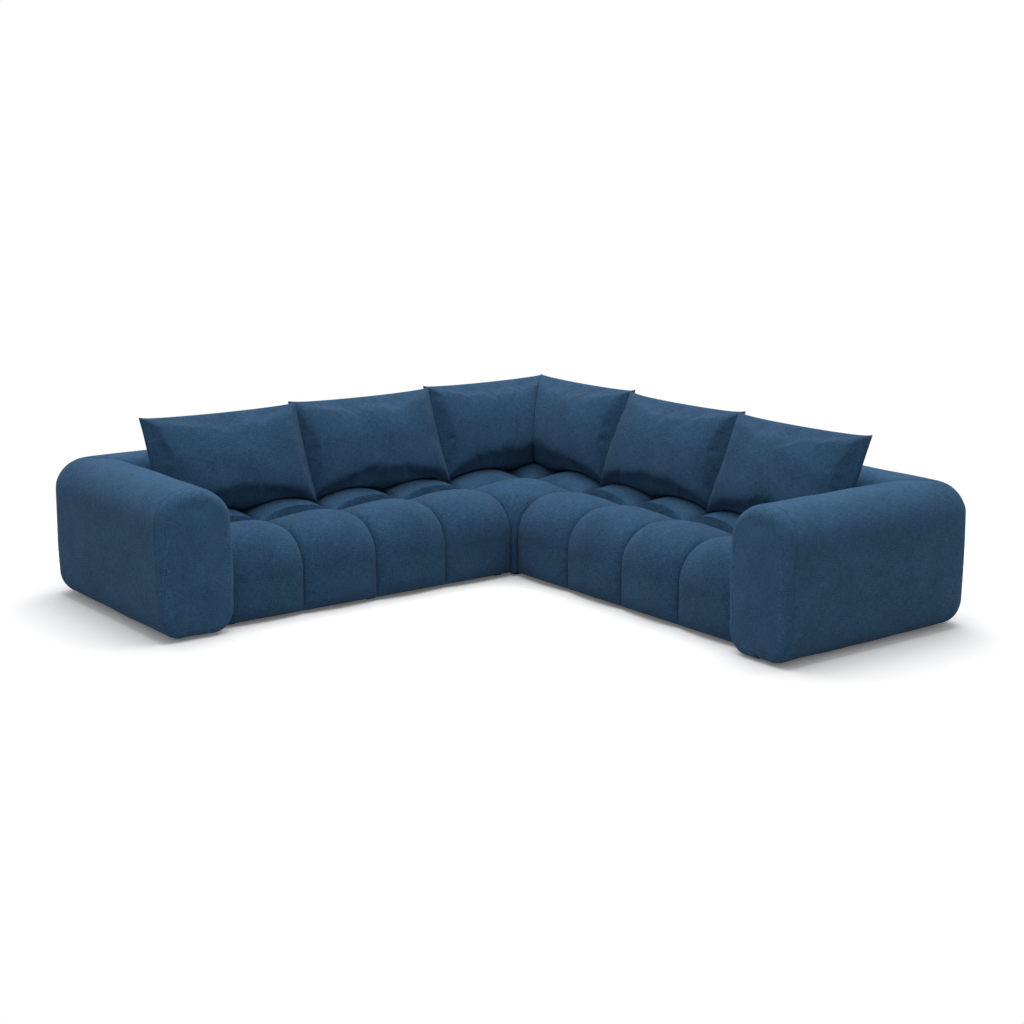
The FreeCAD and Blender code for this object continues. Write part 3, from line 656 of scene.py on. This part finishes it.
def flat_panels(width, height):
    """Two rectangles that share their rim: each draws in between its corners and swells by crossed arches."""
    columns = round(width / CELL) + 1
    rows = round(height / CELL) + 1
    across, up = np.meshgrid(np.linspace(-width / 2, width / 2, columns),
                             np.linspace(-height / 2, height / 2, rows))
    cloth = np.stack([across.ravel(), up.ravel()], axis=1)
    front = np.arange(rows * columns).reshape(rows, columns)
    inner = np.zeros((rows, columns), bool)
    inner[1:-1, 1:-1] = True
    back = front.copy()
    back[inner] = rows * columns + np.arange(inner.sum())
    u, v = 2 * across / width, 2 * up / height
    belly = v + LOW_BELLY * (1 - v ** 2)
    swell = CUSHION_THICK / 2 * ((1 - np.abs(u) ** 2.7) * (1 - np.abs(belly) ** 2.2)) ** 0.60
    drawn_x = across - u * SIDE_DRAW * (1 - v ** 2) * np.abs(u) ** 3
    drawn_y = up - v * TOP_DRAW * (1 - u ** 2) ** 0.8 * np.abs(v) ** 3
    drawn = np.stack([drawn_x.ravel(), drawn_y.ravel()], axis=1)
    first = np.column_stack([drawn, swell.ravel()])
    second = np.column_stack([drawn[inner.ravel()], -swell[inner]])
    quads = [np.stack([at[:-1, :-1], at[:-1, 1:], at[1:, 1:], at[1:, :-1]], axis=-1).reshape(-1, 4)
             for at in (front, back)]
    cloth = np.vstack([cloth, cloth[inner.ravel()]])
    return np.vstack([first, second]), np.vstack([quads[0], quads[1][:, ::-1]]), cloth


def stuffed(name, seed):
    """The stuffed form blown up in a cloth simulation with spare cloth; each point moves by a capped way."""
    points, quads, cloth = flat_panels(PANEL_WIDTH, PANEL_HEIGHT)
    edge = np.minimum(PANEL_WIDTH / 2 - np.abs(cloth[:, 0]), PANEL_HEIGHT / 2 - np.abs(cloth[:, 1]))
    points[:, 2] *= 1 + 0.05 * ripples(points, seed, 0.15, 0.7)
    near_seam = np.exp(-edge / 0.04) * np.minimum(edge / 0.01, 1)
    points[:, 2] += 0.0010 * ripples(cloth, seed + 50, 0.012, 0.05) * near_seam
    bag = sewn(name + "_bag", [(points, quads, cloth)], weld=False)
    physics = bag.modifiers.new("stuffing", "CLOTH")
    settings = physics.settings
    settings.quality = 6
    settings.mass = 0.25
    settings.air_damping = 2.0
    settings.tension_stiffness = 40.0
    settings.compression_stiffness = 40.0
    settings.shear_stiffness = 10.0
    settings.bending_stiffness = 0.25
    settings.shrink_min = -SPARE_CLOTH
    settings.use_pressure = True
    settings.uniform_pressure_force = PRESSURE
    settings.effector_weights.gravity = 0.0
    physics.point_cache.frame_start = 1
    physics.point_cache.frame_end = FRAMES
    for step in range(1, FRAMES + 1):
        bpy.context.scene.frame_set(step)
    held = bag.evaluated_get(bpy.context.evaluated_depsgraph_get())
    blown = np.empty(len(points) * 3, np.float32)
    held.data.vertices.foreach_get("co", blown)
    bpy.data.objects.remove(bag, do_unlink=True)
    bpy.context.scene.frame_set(1)
    moved = blown.reshape(-1, 3) - points
    length = np.linalg.norm(moved, axis=1, keepdims=True)
    most = SEAM_MOVE + (MOST_MOVE - SEAM_MOVE) * np.clip(edge / SEAM_REACH, 0, 1)[:, None]
    moved *= np.minimum(1, most / np.maximum(length, 1e-9))
    return points + moved, quads, cloth


def seat_surface(x, y):
    """Height of the puffs behind the row seam, as the seats above work it out."""
    wing = np.linspace(SEAT_LEFT, SEAT_RIGHT, PUFF_COUNT + 1)
    across, off = puff_place(x, np.concatenate([wing, [ROW_SEAM, SEAT_BACK]]))
    along, off = puff_place(y, np.array([SEAT_FRONT, ROW_SEAM, SEAT_BACK]))
    return SEAM_TOP + TOP_SWELL * pillowed(across) * pillowed(along)


def softly_above(value, floor, width):
    """The larger of two values with a smooth turn between them: floor plus softplus of the difference."""
    gap = (value - floor) / width
    return floor + width * np.where(gap > 30, gap, np.log1p(np.exp(np.minimum(gap, 30))))


def off_bolster(y, z):
    """Points pushed out of the bolster's rounded section along its nearest normal."""
    half = np.array([HALF_WIDTH, HEIGHT / 2 + CROWN / 2])
    round_by = 0.12
    offset = np.stack([y - (FACE + OUTER) / 2, z - (BASE + TOP) / 2 - CROWN / 2], axis=-1)
    beyond = np.abs(offset) - (half - round_by)
    outside = np.maximum(beyond, 0)
    length = np.hypot(*outside.T)
    distance = length + np.minimum(beyond.max(axis=-1), 0) - round_by
    normal = outside * np.sign(offset) / np.maximum(length, 1e-9)[:, None]
    push = softly_above(distance, FOLD_CLEAR, 0.003) - distance
    return y + push * normal[:, 0], z + push * normal[:, 1]


def leaned(points, left, right, yaw, depth, low):
    """Width to X, height up the lean, thickness across it; then laid on the puffs and against the bolster."""
    wide = (right - left) / np.ptp(points[:, 0])
    w, h, t = (points * [wide, 1.0, 1.0]).T
    high = np.ptp(h) / 2
    x = (left + right) / 2 + w * math.cos(yaw) - t * math.sin(yaw)
    out = t * math.cos(yaw) + w * math.sin(yaw)
    y = depth + h * math.sin(LEAN) + out * math.cos(LEAN)
    z = low + (h + high) * math.cos(LEAN) - t * math.sin(LEAN)
    for _ in range(2):
        z = softly_above(z, seat_surface(x, y) + FOLD_CLEAR, 0.004)
        y, z = off_bolster(y, z)
    return np.stack([x, y, z], axis=1)


# The cushion cloth is the bolsters' chenille darkened to 74%: painted shade for the cushions leaning against
# the back.
shaded_cushion_cloth = chenille("cushion_chenille", 0.74, 5.23)
CUSHIONS = {
    1: (-1.112, -0.344, -0.038, 0.982, 0.352, 41),
    2: (-0.376, 0.386, -0.038, 0.983, 0.354, 42),
    3: (0.358, 1.096, -0.020, 0.982, 0.360, 43),
    4: (0.358, 1.096, -0.020, 0.982, 0.360, 44),
    5: (-0.376, 0.386, -0.038, 0.983, 0.354, 45),
    6: (-1.112, -0.344, -0.038, 0.982, 0.352, 46),
}
CORNER_CLEAR = {3: 0.0015, 4: 0.0010}
for number, (left, right, yaw, depth, low, seed) in CUSHIONS.items():
    name = "cushion_%d" % number
    points, quads, cloth = stuffed(name, seed)
    points = leaned(points, left, right, yaw, depth, low)
    if number in CORNER_CLEAR:
        limit = points[:, 1] - CORNER_CLEAR[number]
        points[:, 0] = -softly_above(-points[:, 0], -limit, 0.0015)
    panel = (points, quads, cloth)
    if number > 3:
        panel = other_wing(panel)
    piece = sewn(name, [panel], weld=False)
    work = bmesh.new()
    work.from_mesh(piece.data)
    bmesh.ops.recalc_face_normals(work, faces=work.faces)
    work.to_mesh(piece.data)
    work.free()
    smooth = piece.modifiers.new("fine_cloth", "SUBSURF")
    smooth.levels = 1
    smooth.render_levels = 1
    finished(piece, shaded_cushion_cloth, name, "cushion_fabric", 0.8, name + "_cover", name + "_filling")


# The parts inside and below. Timber, plywood, foam, felt, webbing, dust cloth, steel hooks and
# plastic feet keep their solids and get the finish of the stuff that they are cut or moulded from.
def raw_finish(name, spots, stretch, scale, roughness, grain, metallic=0.0):
    """A plain workshop material: noise stretched along the grain, coloured by stops and raised by a bump."""
    stuff = bpy.data.materials.new(name)
    start = fresh_nodes(stuff)
    where = start.add("Mapping", (), {"Vector": start.add("TexCoord", out=3), "Scale": stretch})
    coarse = start.add("TexNoise", (), {"Vector": where, "Scale": scale, "Detail": 4.0, "Distortion": 0.6})
    fine = start.add("TexNoise", (), {"Vector": where, "Scale": scale * 9.0, "Detail": 2.0})
    tone = 0.7 * coarse + 0.3 * fine
    colour = tone.ramp([(0.32, spots[0]), (0.5, spots[1]), (0.68, spots[2])])
    bump = start.add("Bump", (), {"Strength": 0.4, "Distance": grain, "Height": tone})
    rough = roughness + 0.15 * (tone - 0.5)
    shader = start.add("BsdfPrincipled", (), {
        "Base Color": colour, "Roughness": rough, "Metallic": metallic, "Normal": bump})
    start.add("OutputMaterial", (), {"Surface": shader})
    return stuff


def tones(middle, spread):
    """Dark, middle and light versions of one colour."""
    return [tuple(channel * factor for channel in middle) for factor in (1 - spread, 1.0, 1 + spread)]


EVEN = (1.0, 1.0, 1.0)
TIMBER = tones((0.56, 0.38, 0.20), 0.18)
PLY = tones((0.58, 0.41, 0.23), 0.15)
FOAM = tones((0.80, 0.70, 0.42), 0.10)
FELT = tones((0.18, 0.18, 0.19), 0.40)
ELASTIC = tones((0.48, 0.42, 0.33), 0.20)
BLACK_CLOTH = tones((0.006, 0.006, 0.007), 0.35)
ZINC = tones((0.62, 0.62, 0.60), 0.10)
BLACK_PLASTIC = tones((0.012, 0.012, 0.012), 0.2)
RAW = {
    "rail_timber": raw_finish("planed_softwood", TIMBER, (1.5, 14.0, 14.0), 3.0, 0.62, 0.0004),
    "plywood": raw_finish("sawn_plywood", PLY, (3.0, 3.0, 30.0), 4.0, 0.68, 0.0004),
    "foam": raw_finish("cut_foam", FOAM, EVEN, 160.0, 0.95, 0.0015),
    "felt": raw_finish("needled_felt", FELT, EVEN, 220.0, 0.97, 0.0012),
    "webbing": raw_finish("elastic_webbing", ELASTIC, EVEN, 300.0, 0.85, 0.0006),
    "dust_cloth": raw_finish("spunbond_cloth", BLACK_CLOTH, EVEN, 400.0, 0.8, 0.0003),
    "hook_steel": raw_finish("zinc_steel", ZINC, EVEN, 40.0, 0.38, 0.0001, 1.0),
    "foot_plastic": raw_finish("black_plastic", BLACK_PLASTIC, EVEN, 500.0, 0.5, 0.0002),
}
for part in frame["record"]["subparts"]:
    stuff = RAW.get(part["material_slot"])
    if stuff:
        for slot in bpy.data.objects[part["node"]].material_slots:
            slot.material = stuff
